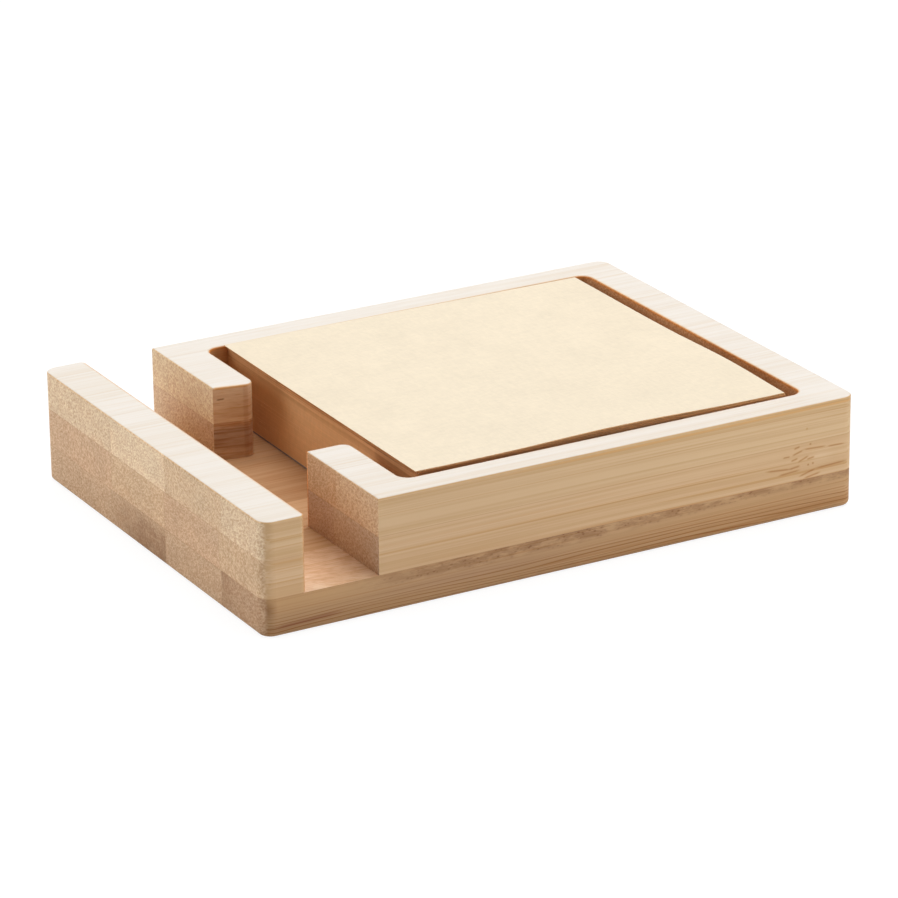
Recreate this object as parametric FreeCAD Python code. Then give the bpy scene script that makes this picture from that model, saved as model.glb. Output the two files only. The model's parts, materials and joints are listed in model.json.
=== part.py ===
import FreeCAD, Part
import math
import os

from FreeCAD import Vector

# A bamboo memo pad holder: a front lip, a slot across the full width that a phone leans in, and
# an open tray for a square pad of sheets, with a finger notch through the tray's front wall.
# X runs along the lip, Y from the lip (low) to the tray's back (high), Z up. The origin is on
# the surface that the holder stands on, in the middle of its width and length. Millimetres.

# The memo pad.
pad_side = 75.0
backing_sheet_thickness = 0.3
sheet_stack_height = 12.9
upper_sheets_height = 1.1
top_sheet_thickness = 0.1
top_sheet_bulge = 0.75
pad_rest_gap = 0.1
top_sheet_gap = 0.05

# The pad lies a little askew in its pocket: how far its corners stand out for that, and the
# free space between them and the pocket's sides.
pad_askew = 0.4
pad_gap_left = 0.15
pad_gap_right = 0.15
pad_gap_front = 3.8
pad_gap_back = 2.9

# The bamboo holder.
side_wall = 5.95
back_wall = 7.5
front_wall = 8.1
slot_width = 14.0
lip_thickness = 8.3
notch_width = 36.7
notch_centre_x = -0.55
notch_left_lean = 1.7
base_ply_thickness = 7.1
middle_ply_thickness = 7.1
top_ply_thickness = 7.1

# Rounded edges and corners.
outer_corner_radius = 2.4
pocket_corner_radius = 2.4
notch_inner_radius = 2.0
lip_back_corner_radius = 1.1
bottom_edge_radius = 0.9
top_edge_radius = 0.4

# The strips that each ply is glued up from, counted from the left side (low X). The first and
# the last are what is left of theirs where the ply was trimmed, and the full strips between
# them share the rest.
full_strips = 3
base_first_strip = 6.0
base_last_strip = 16.0
middle_first_strip = 6.9
middle_last_strip = 16.6
top_first_strip = 6.5
top_last_strip = 15.5

# Sizes that follow from the ones above.
pad_reach = pad_side / 2 + pad_askew
pocket_width = pad_gap_left + 2 * pad_reach + pad_gap_right
pocket_length = pad_gap_front + 2 * pad_reach + pad_gap_back
holder_width = 2 * side_wall + pocket_width
holder_length = lip_thickness + slot_width + front_wall + pocket_length + back_wall
floor_z = base_ply_thickness
middle_ply_top = floor_z + middle_ply_thickness
holder_height = middle_ply_top + top_ply_thickness

left_x = -holder_width / 2
right_x = holder_width / 2
front_y = -holder_length / 2
back_y = holder_length / 2
slot_front_y = front_y + lip_thickness
slot_back_y = slot_front_y + slot_width
pocket_left_x = left_x + side_wall
pocket_right_x = right_x - side_wall
pocket_front_y = slot_back_y + front_wall
pocket_back_y = back_y - back_wall
notch_left_x = notch_centre_x - notch_width / 2
notch_left_inner_x = notch_left_x + notch_left_lean
notch_right_x = notch_centre_x + notch_width / 2
pad_centre = Vector(pocket_left_x + pad_gap_left + pad_reach,
                    pocket_front_y + pad_gap_front + pad_reach, 0)
pad_left_x = pad_centre.x - pad_side / 2
pad_front_y = pad_centre.y - pad_side / 2
pad_turn = math.degrees(math.asin(2 * pad_askew / pad_side))

# How far a cut runs past a face that it opens, how near counts as the same place, and the
# largest share of a wall that the rounding of one of its edges may take.
overrun = 5.0
same_place = 0.001
largest_share_of_wall = 0.45


def block(x_low, x_high, y_low, y_high, z_low, z_high):
    """A plain box between two corners."""
    return Part.makeBox(x_high - x_low, y_high - y_low, z_high - z_low,
                        Vector(x_low, y_low, z_low))


def upright_edges(shape, x, y):
    """The vertical edges of a shape that stand at a given place in plan."""
    found = []
    for edge in shape.Edges:
        box = edge.BoundBox
        in_place = abs(box.Center.x - x) < same_place and abs(box.Center.y - y) < same_place
        if in_place and box.XLength < same_place and box.YLength < same_place:
            found.append(edge)
    return found


def round_uprights(shape, places, radius):
    """Round the vertical edges that stand at the listed places in plan."""
    edges = []
    for x, y in places:
        edges += upright_edges(shape, x, y)
    return shape.makeFillet(radius, edges)


def level_edges(shape, z):
    """The edges of a shape that lie at one height."""
    return [edge for edge in shape.Edges
            if abs(edge.BoundBox.ZMin - z) < same_place and edge.BoundBox.ZLength < same_place]


def limited(radius, wall):
    """A rounding's radius, held to what the wall that it is on leaves room for."""
    return min(radius, largest_share_of_wall * wall)


def corners(x_low, x_high, y_low, y_high):
    """The four corners of a rectangle in plan."""
    return [(x, y) for x in (x_low, x_high) for y in (y_low, y_high)]


def glued_blank():
    """The laminated block before the slot, the pocket and the notch are milled."""
    blank = block(left_x, right_x, front_y, back_y, 0, holder_height)
    radius = limited(outer_corner_radius, lip_thickness)
    blank = round_uprights(blank, corners(left_x, right_x, front_y, back_y), radius)
    return blank.makeFillet(bottom_edge_radius, level_edges(blank, 0))


def pad_pocket():
    """The space milled out of the tray for the pad, with the cutter's radius in its corners."""
    space = block(pocket_left_x, pocket_right_x, pocket_front_y, pocket_back_y,
                  floor_z, holder_height + overrun)
    pocket_plan = corners(pocket_left_x, pocket_right_x, pocket_front_y, pocket_back_y)
    return round_uprights(space, pocket_plan, pocket_corner_radius)


def phone_slot():
    """The space milled across the whole width behind the lip."""
    return block(left_x - overrun, right_x + overrun, slot_front_y, slot_back_y,
                 floor_z, holder_height + overrun)


def finger_notch():
    """The space milled through the tray's front wall, narrower towards the pocket."""
    slant = notch_left_lean / front_wall * overrun
    y_low = slot_back_y - overrun
    y_high = pocket_front_y + overrun
    outline = Part.makePolygon([
        Vector(notch_left_x - slant, y_low, floor_z),
        Vector(notch_right_x, y_low, floor_z),
        Vector(notch_right_x, y_high, floor_z),
        Vector(notch_left_inner_x + slant, y_high, floor_z),
        Vector(notch_left_x - slant, y_low, floor_z),
    ])
    return Part.Face(outline).extrude(Vector(0, 0, holder_height - floor_z + overrun))


def milled_body():
    """The whole bamboo body, with its slot, pocket, notch and rounded edges."""
    body = glued_blank().cut(phone_slot()).cut(finger_notch()).cut(pad_pocket())
    notch_mouth = [(notch_left_inner_x, pocket_front_y), (notch_right_x, pocket_front_y)]
    body = round_uprights(body, notch_mouth, limited(notch_inner_radius, front_wall))
    lip_back = [(left_x, slot_front_y), (right_x, slot_front_y)]
    body = round_uprights(body, lip_back, limited(lip_back_corner_radius, lip_thickness))
    return body.makeFillet(top_edge_radius, level_edges(body, holder_height))


def strip_edges(first_strip, last_strip):
    """The X positions where a ply's strips begin and end, across the holder's width."""
    full_left_x = left_x + first_strip
    full_right_x = right_x - last_strip
    strip_width = (full_right_x - full_left_x) / full_strips
    seams = [full_left_x + number * strip_width for number in range(full_strips + 1)]
    return [left_x, *seams, right_x]


def front_to_back(piece):
    """Where a piece comes in its strip: by its place in Y, and side by side by its place in X."""
    centre = piece.CenterOfMass
    return round(centre.y), centre.x


def ply_strips(body, z_low, z_high, first_strip, last_strip):
    """What each strip of one ply leaves of the milled body, numbered from left to right."""
    edges = strip_edges(first_strip, last_strip)
    for number, (x_low, x_high) in enumerate(zip(edges, edges[1:]), start=1):
        cell = block(x_low, x_high, front_y, back_y, z_low, z_high)
        yield number, sorted(body.common(cell).Solids, key=front_to_back)


def base_pieces(body):
    """The full-length strips of the base ply."""
    pieces = {}
    for number, solids in ply_strips(body, 0, floor_z, base_first_strip, base_last_strip):
        pieces[f"base_strip_{number}"] = solids[0]
    return pieces


# What a strip's pieces in the tray are called, by their number. The pocket parts a strip into a
# front and a back end, and a notch that lies within one strip parts its front end too.
tray_ends = {
    1: [""],
    2: ["_front", "_back"],
    3: ["_front_left", "_front_right", "_back"],
}


def upper_pieces(body, ply, z_low, z_high, first_strip, last_strip):
    """The strips of a ply above the floor, which the slot parts into lip and tray pieces."""
    pieces = {}
    for number, solids in ply_strips(body, z_low, z_high, first_strip, last_strip):
        pieces[f"lip_{ply}_strip_{number}"] = solids[0]
        for end, solid in zip(tray_ends[len(solids) - 1], solids[1:]):
            pieces[f"tray_{ply}_strip_{number}{end}"] = solid
    return pieces


def pad_layer(z_low, height):
    """A flat layer of the pad's square sheets."""
    return block(pad_left_x, pad_left_x + pad_side, pad_front_y, pad_front_y + pad_side,
                 z_low, z_low + height)


def bulged_sheet(z_low):
    """The top sheet: flat at its left edge, with its right edge arched up between its ends."""
    x_high = pad_left_x + pad_side
    y_high = pad_front_y + pad_side
    left_edge = Part.makeLine(Vector(pad_left_x, pad_front_y, z_low),
                              Vector(pad_left_x, y_high, z_low))
    right_edge = Part.Arc(Vector(x_high, pad_front_y, z_low),
                          Vector(x_high, pad_centre.y, z_low + top_sheet_bulge),
                          Vector(x_high, y_high, z_low)).toShape()
    underside = Part.makeRuledSurface(left_edge, right_edge)
    return underside.extrude(Vector(0, 0, top_sheet_thickness))


def pad_pieces():
    """The memo pad's pieces, from the sheet at its bottom up."""
    stack_z = floor_z + pad_rest_gap + backing_sheet_thickness
    upper_z = stack_z + sheet_stack_height
    top_sheet_z = upper_z + upper_sheets_height + top_sheet_gap
    square_pieces = {
        "pad_backing_sheet": pad_layer(floor_z + pad_rest_gap, backing_sheet_thickness),
        "pad_sheet_stack": pad_layer(stack_z, sheet_stack_height),
        "pad_upper_sheets": pad_layer(upper_z, upper_sheets_height),
        "pad_top_sheet": bulged_sheet(top_sheet_z),
    }
    return {name: piece.rotated(pad_centre, Vector(0, 0, 1), -pad_turn)
            for name, piece in square_pieces.items()}


def all_pieces():
    """Every piece of the holder and the pad, by name."""
    body = milled_body()
    pieces = base_pieces(body)
    pieces |= upper_pieces(body, "middle", floor_z, middle_ply_top,
                           middle_first_strip, middle_last_strip)
    pieces |= upper_pieces(body, "top", middle_ply_top, holder_height,
                           top_first_strip, top_last_strip)
    pieces |= pad_pieces()
    return pieces


os.makedirs("parts", exist_ok=True)
for name, piece in all_pieces().items():
    piece.exportStep(f"parts/{name}.step")
    print(f"{name}: {piece.Volume / 1000:.2f} cm3")
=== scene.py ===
"""Dresses the bamboo memo pad holder: its camera, its studio and the finish of every piece.

Lengths are in metres, in the holder's own frame: X runs along the lip, Y from the lip to the
tray's back, and Z up from the surface that the holder stands on. The finishes work in
millimetres of the same frame, so a pattern's scale reads as features per millimetre.
"""
import json
import logging
import math
import random
from collections.abc import Callable, Sequence
from dataclasses import dataclass, field
from enum import Enum

import bmesh
import bpy
from mathutils import Matrix, Vector

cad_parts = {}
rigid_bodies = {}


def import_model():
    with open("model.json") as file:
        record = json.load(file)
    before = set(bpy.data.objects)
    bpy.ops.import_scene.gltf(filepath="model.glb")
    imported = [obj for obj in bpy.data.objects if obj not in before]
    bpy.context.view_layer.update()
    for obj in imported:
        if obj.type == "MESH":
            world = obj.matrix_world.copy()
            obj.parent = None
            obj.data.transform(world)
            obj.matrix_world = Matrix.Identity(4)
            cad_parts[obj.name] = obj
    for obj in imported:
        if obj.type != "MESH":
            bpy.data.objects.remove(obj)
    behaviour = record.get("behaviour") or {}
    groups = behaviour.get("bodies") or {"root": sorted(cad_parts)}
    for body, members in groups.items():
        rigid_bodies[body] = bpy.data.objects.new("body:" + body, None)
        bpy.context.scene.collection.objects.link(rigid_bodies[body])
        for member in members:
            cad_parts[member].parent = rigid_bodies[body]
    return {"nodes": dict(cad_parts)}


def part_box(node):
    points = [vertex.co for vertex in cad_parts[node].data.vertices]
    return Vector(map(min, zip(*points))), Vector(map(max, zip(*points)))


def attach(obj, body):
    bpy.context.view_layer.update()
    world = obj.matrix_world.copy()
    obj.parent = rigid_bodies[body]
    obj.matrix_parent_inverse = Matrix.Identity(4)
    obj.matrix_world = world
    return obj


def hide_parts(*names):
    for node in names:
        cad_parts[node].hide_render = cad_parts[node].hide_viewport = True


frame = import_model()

MM = 0.001
IMAGE_SIDE = 898
# A strip end's tint where it gets no painted light or shade.
NO_PAINTED_LIGHT = (1.0, 1.0, 1.0)
LOG = logging.getLogger("memo_pad_holder")

# Places on the holder, in millimetres of its frame.
OUTER_X = 44.0
FLOOR_Z = 7.1
MIDDLE_PLY_TOP = 14.2
TOP_Z = 21.3
POCKET_HALF_WIDTH = 38.05
POCKET_FRONT_Y = -29.8
POCKET_BACK_Y = 52.7
POCKET_CORNER = 2.4
SLOT_FRONT_Y = -51.9
SLOT_BACK_Y = -37.9
NOTCH_LEFT_X = -18.9
NOTCH_RIGHT_X = 17.8
NOTCH_LEAN = 1.7 / 8.1

Colour = tuple[float, float, float]
Triple = tuple[float, float, float]
Socket = bpy.types.NodeSocket
Material = bpy.types.Material
BMesh = bmesh.types.BMesh
Points = list[bmesh.types.BMVert]
Faces = list[bmesh.types.BMFace]


class Body(Enum):
    """The moving bodies of the frame that new pieces ride on."""

    MEMO_PAD = "memo_pad"
    TOP_SHEET = "top_sheet"


class Tone(Enum):
    """How a strip's colour differs from the usual one of its ply, as shares of its channels."""

    PALE = (1.06, 1.08, 1.10)
    LIGHT = (1.00, 1.00, 1.00)
    TAN = (0.94, 0.90, 0.86)
    ROSY = (0.97, 0.93, 0.94)
    BROWN = (0.86, 0.81, 0.78)


@dataclass(frozen=True)
class Viewpoint:
    """The camera.

    Attributes:
        azimuth: where it stands round the holder, in degrees from the front.
        elevation: how far it looks down, in degrees.
        roll: how far it leans, in degrees.
        distance: how far it stands from the point that it looks at.
        aim_right: how far that point lies to the right of the frame's origin.
        aim_up: how far that point lies above the frame's origin.
        focal_pixels: its focal length in pixels of the image.
        sensor: the width of its sensor, in millimetres.
        near_limit, far_limit: the nearest and the furthest that it sees.
    """

    azimuth: float = 60.833
    elevation: float = 21.243
    roll: float = -0.645
    distance: float = 839.3 * MM
    aim_right: float = 0.54 * MM
    aim_up: float = 7.60 * MM
    focal_pixels: float = 4568.25
    sensor: float = 36.0
    near_limit: float = 0.01
    far_limit: float = 50.0

    def build(self) -> None:
        """Make the camera and set it as the scene's."""
        azimuth = math.radians(self.azimuth)
        elevation = math.radians(self.elevation)
        back = Vector((math.sin(azimuth) * math.cos(elevation),
                       -math.cos(azimuth) * math.cos(elevation),
                       math.sin(elevation)))
        right = Vector((math.cos(azimuth), math.sin(azimuth), 0.0))
        up = back.cross(right)
        place = back * self.distance + right * self.aim_right + up * self.aim_up
        data = bpy.data.cameras.new("camera")
        data.sensor_width = self.sensor
        data.lens = self.focal_pixels / IMAGE_SIDE * self.sensor
        data.clip_start = self.near_limit
        data.clip_end = self.far_limit
        camera = bpy.data.objects.new("camera", data)
        turn = Matrix((right, up, back)).transposed().to_4x4()
        camera.matrix_world = (Matrix.Translation(place) @ turn
                               @ Matrix.Rotation(math.radians(self.roll), 4, "Z"))
        bpy.context.scene.collection.objects.link(camera)
        bpy.context.scene.camera = camera


class Graph:
    """A material and its node tree, with short calls for the nodes that the finishes use."""

    def __init__(self, name: str) -> None:
        """Make an empty material with a Principled shader at its output.

        Args:
            name: the material's name.
        """
        self.material = bpy.data.materials.new(name)
        self.material.use_nodes = True
        self.tree = self.material.node_tree
        self.tree.nodes.clear()
        self.output = self.make("OutputMaterial")
        self.shader = self.make("BsdfPrincipled")
        self.coordinates = self.make("TexCoord")
        self.feed(self.output.inputs["Surface"], self.shader.outputs["BSDF"])

    def feed(self, target: Socket, value: Socket | float | Sequence[float]) -> None:
        """Link a socket's input to another socket, or set it to a plain value.

        Args:
            target: the input to set.
            value: what it gets: a socket, a number, or three numbers.
        """
        if isinstance(value, Socket):
            self.tree.links.new(value, target)
        elif target.type == "RGBA" and not isinstance(value, (int, float)):
            target.default_value = (*value, 1.0)
        else:
            target.default_value = value

    def make(self, kind: str, *values: Socket | float | Sequence[float],
             **settings: str | bool) -> bpy.types.Node:
        """Add a node.

        Args:
            kind: the end of its type's name.
            values: what its first inputs get, in their order.
            settings: its own settings.

        Returns:
            The node.
        """
        node = self.tree.nodes.new(f"ShaderNode{kind}")
        for name, setting in settings.items():
            setattr(node, name, setting)
        for target, value in zip(node.inputs, values):
            self.feed(target, value)
        return node

    def place(self) -> Socket:
        """The point on the piece, in millimetres of the holder's frame."""
        node = self.make("VectorMath", self.coordinates.outputs["Object"], operation="SCALE")
        node.inputs["Scale"].default_value = 1.0 / MM
        return node.outputs[0]

    def facing(self) -> tuple[Socket, Socket, Socket]:
        """How far the surface faces along X, Y and Z, from -1 to 1."""
        return self.split(self.coordinates.outputs["Normal"])

    def split(self, vector: Socket) -> tuple[Socket, Socket, Socket]:
        """The three parts of a vector."""
        return tuple(self.make("SeparateXYZ", vector).outputs)

    def join(self, x: Socket | float, y: Socket | float, z: Socket | float) -> Socket:
        """A vector made of three parts."""
        return self.make("CombineXYZ", x, y, z).outputs[0]

    def add(self, first: Socket, second: Socket | Triple) -> Socket:
        """The sum of two vectors."""
        return self.make("VectorMath", first, second, operation="ADD").outputs[0]

    def stretch(self, vector: Socket, per_mm: Triple = (1.0, 1.0, 1.0),
                shift: Triple = (0.0, 0.0, 0.0), turn: Triple = (0.0, 0.0, 0.0)) -> Socket:
        """Scale a place, so that a pattern has so many features per millimetre each way.

        Args:
            vector: the place.
            per_mm: features per millimetre along X, Y and Z.
            shift: how far the pattern is moved, in its own units.
            turn: how far it is turned about X, Y and Z, in degrees.

        Returns:
            The scaled place.
        """
        angles = [math.radians(angle) for angle in turn]
        return self.make("Mapping", vector, shift, angles, per_mm).outputs[0]

    def noise(self, place: Socket, per_mm: Triple, detail: float = 2.0, roughness: float = 0.5,
              shift: Triple = (0.0, 0.0, 0.0)) -> Socket:
        """Smooth noise about 0.5.

        Args:
            place: the place that it varies with.
            per_mm: features per millimetre along X, Y and Z.
            detail: how many finer layers it has.
            roughness: how strong the finer layers are.
            shift: how far the pattern is moved, in its own units.

        Returns:
            The noise.
        """
        moved = self.stretch(place, per_mm, shift)
        return self.make("TexNoise", moved, 0.0, 1.0, detail, roughness).outputs["Fac"]

    def cells(self, place: Socket, per_mm: Triple) -> Socket:
        """The distance to the nearest of scattered points, so many to a millimetre each way."""
        moved = self.stretch(place, per_mm)
        return self.make("TexVoronoi", moved, 0.0, 1.0).outputs["Distance"]

    def calc(self, operation: str, first: Socket | float, second: Socket | float = 0.0,
             clamp: bool = False) -> Socket:
        """One step of arithmetic.

        Args:
            operation: the name of Blender's math operation.
            first: its first value.
            second: its second value, where it takes one.
            clamp: whether the result is held between 0 and 1.

        Returns:
            The result.
        """
        node = self.make("Math", first, second, operation=operation, use_clamp=clamp)
        return node.outputs[0]

    def product(self, first: Socket | float, *others: Socket | float) -> Socket | float:
        """The product of two values or more."""
        for other in others:
            first = self.calc("MULTIPLY", first, other)
        return first

    def ease(self, value: Socket, low: float, high: float, to_low: float = 0.0,
             to_high: float = 1.0) -> Socket:
        """Turn a range of values into another one, with a smooth start and end.

        Args:
            value: what is turned.
            low: the value that gives to_low. It may be the greater of the two.
            high: the value that gives to_high.
            to_low: the result at low and on its far side.
            to_high: the result at high and beyond.

        Returns:
            The result.
        """
        node = self.make("MapRange", value, low, high, to_low, to_high,
                         interpolation_type="SMOOTHSTEP")
        return node.outputs["Result"]

    def near(self, value: Socket, at: float, reach: float) -> Socket:
        """1 where a value is at a given one, easing to 0 a given reach away."""
        distance = self.calc("ABSOLUTE", self.calc("SUBTRACT", value, at))
        return self.ease(distance, 0.0, reach, 1.0, 0.0)

    def waver(self, value: Socket, amount: float) -> Socket:
        """A factor about 1 from noise about 0.5."""
        centred = self.calc("SUBTRACT", value, 0.5)
        return self.calc("ADD", self.product(centred, amount), 1.0)

    def mix(self, share: Socket | float, first: Socket | Colour, second: Socket | Colour,
            mode: str = "MIX") -> Socket:
        """Mix two colours.

        Args:
            share: how much of the second shows.
            first: the first colour.
            second: the second colour.
            mode: the name of Blender's blend mode.

        Returns:
            The mixed colour.
        """
        node = self.make("Mix", data_type="RGBA", blend_type=mode)
        for number, value in ((0, share), (6, first), (7, second)):
            self.feed(node.inputs[number], value)
        return node.outputs[2]

    def tint(self, colour: Socket | Colour, share: Socket | float,
             by: Socket | Colour) -> Socket:
        """Multiply a colour by another one, as far as a share says."""
        return self.mix(share, colour, by, "MULTIPLY")

    def tints(self, colour: Socket | Colour,
              *steps: tuple[Socket | float, Socket | Colour]) -> Socket | Colour:
        """Tint a colour step by step, each step by a share and a colour."""
        for share, by in steps:
            colour = self.tint(colour, share, by)
        return colour

    def finish(self, colour: Socket | Colour, roughness: Socket | float, height: Socket,
               depth: float, specular: float = 0.5) -> Material:
        """Connect the surface to the shader.

        Args:
            colour: its colour.
            roughness: its roughness.
            height: its relief, from 0 to 1.
            depth: how deep the relief is, in metres.
            specular: the strength of its sheen.

        Returns:
            The finished material.
        """
        bump = self.make("Bump")
        for target, value in ((bump.inputs["Distance"], depth),
                              (bump.inputs["Height"], height),
                              (self.shader.inputs["Normal"], bump.outputs[0]),
                              (self.shader.inputs["Base Color"], colour),
                              (self.shader.inputs["Roughness"], roughness),
                              (self.shader.inputs["Specular IOR Level"], specular)):
            self.feed(target, value)
        return self.material


@dataclass(frozen=True)
class PlyColours:
    """The usual colour of a ply's strips on each kind of face.

    Attributes:
        side: the colour of a face along the fibres.
        end: the colour of a face across the fibres.
        top: the colour of an upward face; the top ply's is paler than its sides, a painted
            sheen.
        top_contrast: how much of the grain's light and dark an upward face shows; the top ply's
            is low, as its painted sheen washes the grain out.
    """

    side: Colour
    end: Colour
    top: Colour
    top_contrast: float


BASE_PLY = PlyColours(side=(0.672, 0.437, 0.233), end=(0.66, 0.435, 0.264),
                      top=(0.66, 0.41, 0.215), top_contrast=1.0)
MIDDLE_PLY = PlyColours(side=(0.742, 0.503, 0.285), end=(0.72, 0.49, 0.295),
                        top=(0.76, 0.55, 0.36), top_contrast=0.5)
# The top ply's upward faces are painted paler and less saturated than its sides: a painted
# sheen.
TOP_PLY = PlyColours(side=(0.735, 0.505, 0.283), end=(0.80, 0.59, 0.385),
                     top=(0.86, 0.80, 0.725), top_contrast=0.32)


@dataclass(frozen=True)
class Stroke:
    """A short dark mark on a side face: where its middle is, and how it lies.

    Attributes:
        middle: the Y and Z of its middle.
        length: how long it is.
        slope: how far it climbs towards the back, in degrees.
        width: how wide it is.
    """

    middle: tuple[float, float]
    length: float
    slope: float
    width: float = 0.30

    def share(self, graph: Graph, place: Socket) -> Socket:
        """Where the stroke is on a face, from 0 to 1.

        Args:
            graph: the material that shows it.
            place: the point on the face.

        Returns:
            Its share there.
        """
        about_middle = graph.add(place, (0.0, -self.middle[0], -self.middle[1]))
        turned = graph.stretch(about_middle, turn=(-self.slope, 0.0, 0.0))
        _, along, across = graph.split(turned)
        from_middle = graph.calc("ABSOLUTE", along)
        ends = graph.ease(from_middle, 0.55 * self.length, 0.25 * self.length)
        return graph.product(ends, graph.near(across, 0.0, self.width))


@dataclass
class Bamboo:
    """One glued strip of bamboo: fibres along Y, cut across at its ends, sanded all over.

    Attributes:
        node: the CAD node that it finishes.
        ply: the usual colours of its ply.
        tone: how its own colour differs.
        seed: a number that moves its grain, so that no two strips have the same.
        end_light_and_shade: its front end faces' own tint, painted light on the tray's left
            block and painted shade on its right one.
    """

    node: str
    ply: PlyColours
    tone: Tone
    seed: int
    end_light_and_shade: Colour = NO_PAINTED_LIGHT
    graph: Graph = field(init=False)
    place: Socket = field(init=False)
    x: Socket = field(init=False)
    y: Socket = field(init=False)
    z: Socket = field(init=False)
    grain_place: Socket = field(init=False)

    # Colours that tint the bamboo: its paler and darker fibres, its dark fibre lines, its cut
    # bundles, its glue lines; a painted yellowish line for the light and shade on its rounded
    # top edges, painted shade on its milled edges, painted shade on the pocket's walls and a
    # painted highlight along their upper edge. A milled edge's tint reaches so far from it, in
    # millimetres.
    pale_fibre: Colour = (1.05, 1.06, 1.09)
    dark_fibre: Colour = (0.93, 0.865, 0.785)
    fibre_line: Colour = (0.88, 0.75, 0.58)
    pale_bundle: Colour = (1.20, 1.31, 1.38)
    dark_bundle: Colour = (0.855, 0.745, 0.655)
    glue_line: Colour = (0.72, 0.56, 0.44)
    rim_light_line: Colour = (1.0, 0.88, 0.66)
    lip_edge_shade: Colour = (0.93, 0.64, 0.36)
    milled_edge_shade: Colour = (0.95, 0.76, 0.52)
    pocket_shade: Colour = (0.93, 0.75, 0.60)
    lit_edge: Colour = (1.12, 0.98, 0.80)
    edge_reach: float = 0.60

    # How much of its lines, seams and rims shows, and the sheen and relief of its sanded face.
    line_share: float = 0.80
    seam_strength: float = 0.40
    rim_strength: float = 0.60
    specular: float = 0.35
    smoothest: float = 0.50
    roughest: float = 0.66
    relief: float = 0.02 * MM

    def __post_init__(self) -> None:
        """Start the strip's material and find the place of its grain."""
        graph = self.graph = Graph(f"bamboo_{self.node}")
        self.place = graph.place()
        self.x, self.y, self.z = graph.split(self.place)
        shift = (3.7 * self.seed, 17.3 * self.seed, 5.9 * self.seed)
        moved = graph.stretch(self.place, shift=shift)
        wave = graph.noise(moved, (0.03, 0.009, 0.05), 1.0)
        drift = graph.product(graph.calc("SUBTRACT", wave, 0.5), 1.8)
        self.grain_place = graph.add(moved, graph.join(drift, 0.0, drift))

    def grain(self, per_mm: Triple, detail: float = 2.0, roughness: float = 0.5) -> Socket:
        """Noise that runs with the strip's grain, so many features to a millimetre each way."""
        return self.graph.noise(self.grain_place, per_mm, detail, roughness)

    def face_shares(self) -> tuple[Socket, Socket, Socket]:
        """How far a point belongs to an end, a top and an under face, from 0 to 1."""
        graph = self.graph
        _, along, up = graph.facing()
        return (graph.ease(graph.calc("ABSOLUTE", along), 0.55, 0.85),
                graph.ease(up, 0.55, 0.90), graph.ease(up, -0.30, -0.70))

    def rim_share(self) -> Socket:
        """Where a top edge is rounded over, from 0 to 1."""
        graph = self.graph
        _, _, up = graph.facing()
        return graph.product(graph.ease(up, 0.04, 0.35), graph.ease(up, 0.92, 0.45))

    def beyond_pocket(self) -> Socket:
        """How far outside the pocket's rounded outline a point is in plan, in millimetres."""
        graph = self.graph
        from_middle = graph.calc("SUBTRACT", self.y, (POCKET_FRONT_Y + POCKET_BACK_Y) / 2)
        half_length = (POCKET_BACK_Y - POCKET_FRONT_Y) / 2
        squares = []
        for value, half in ((self.x, POCKET_HALF_WIDTH), (from_middle, half_length)):
            beyond = graph.calc("SUBTRACT", graph.calc("ABSOLUTE", value), half - POCKET_CORNER)
            beyond = graph.calc("MAXIMUM", beyond, 0.0)
            squares.append(graph.product(beyond, beyond))
        from_corner = graph.calc("SQRT", graph.calc("ADD", *squares))
        return graph.calc("SUBTRACT", from_corner, POCKET_CORNER)

    def lip_edge_share(self) -> Socket:
        """Where the lip has its milled edge to the slot, from 0 to 1."""
        graph = self.graph
        _, along, _ = graph.facing()
        return graph.product(graph.near(self.y, SLOT_FRONT_Y, 0.75),
                             graph.ease(along, 0.95, 0.80),
                             graph.ease(self.z, FLOOR_Z, FLOOR_Z + 0.5))

    def milled_edge_share(self) -> Socket:
        """Where the notch or the pocket has its milled edge, from 0 to 1."""
        graph = self.graph
        pocket = graph.near(self.beyond_pocket(), 0.0, self.edge_reach)
        into_wall = graph.product(graph.calc("SUBTRACT", self.y, SLOT_BACK_Y), NOTCH_LEAN)
        from_left = graph.calc("SUBTRACT", graph.calc("SUBTRACT", self.x, into_wall),
                               NOTCH_LEFT_X)
        notch = graph.calc("MAXIMUM", graph.near(from_left, 0.0, self.edge_reach),
                           graph.near(self.x, NOTCH_RIGHT_X, self.edge_reach))
        notch = graph.product(notch, graph.ease(self.y, SLOT_BACK_Y, SLOT_BACK_Y + 0.8),
                              graph.ease(self.y, POCKET_FRONT_Y + 0.2, POCKET_FRONT_Y))
        return graph.product(graph.calc("MAXIMUM", pocket, notch),
                             graph.ease(self.z, TOP_Z - 0.6, TOP_Z - 0.4))

    def pocket_share(self) -> Socket:
        """Where a wall is inside the pocket, from 0 to 1."""
        graph = self.graph
        return graph.product(
            graph.ease(graph.calc("ABSOLUTE", self.x), POCKET_HALF_WIDTH + 0.25,
                       POCKET_HALF_WIDTH + 0.05),
            graph.ease(self.z, FLOOR_Z - 0.4, FLOOR_Z),
            graph.ease(self.y, POCKET_FRONT_Y - 0.25, POCKET_FRONT_Y - 0.05),
            graph.ease(self.y, POCKET_BACK_Y + 0.25, POCKET_BACK_Y + 0.05))

    def seam_share(self) -> Socket:
        """Where the strip meets its glued neighbours, from 0 to 1."""
        graph = self.graph
        low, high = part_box(self.node)
        share: Socket | float = 0.0
        for seam in (FLOOR_Z, MIDDLE_PLY_TOP):
            share = graph.calc("MAXIMUM", share, graph.near(self.z, seam, 0.14))
        for seam in (low[0] / MM, high[0] / MM):
            if abs(seam) < OUTER_X - 1.0:
                share = graph.calc("MAXIMUM", share, graph.near(self.x, seam, 0.10))
        return share

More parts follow.
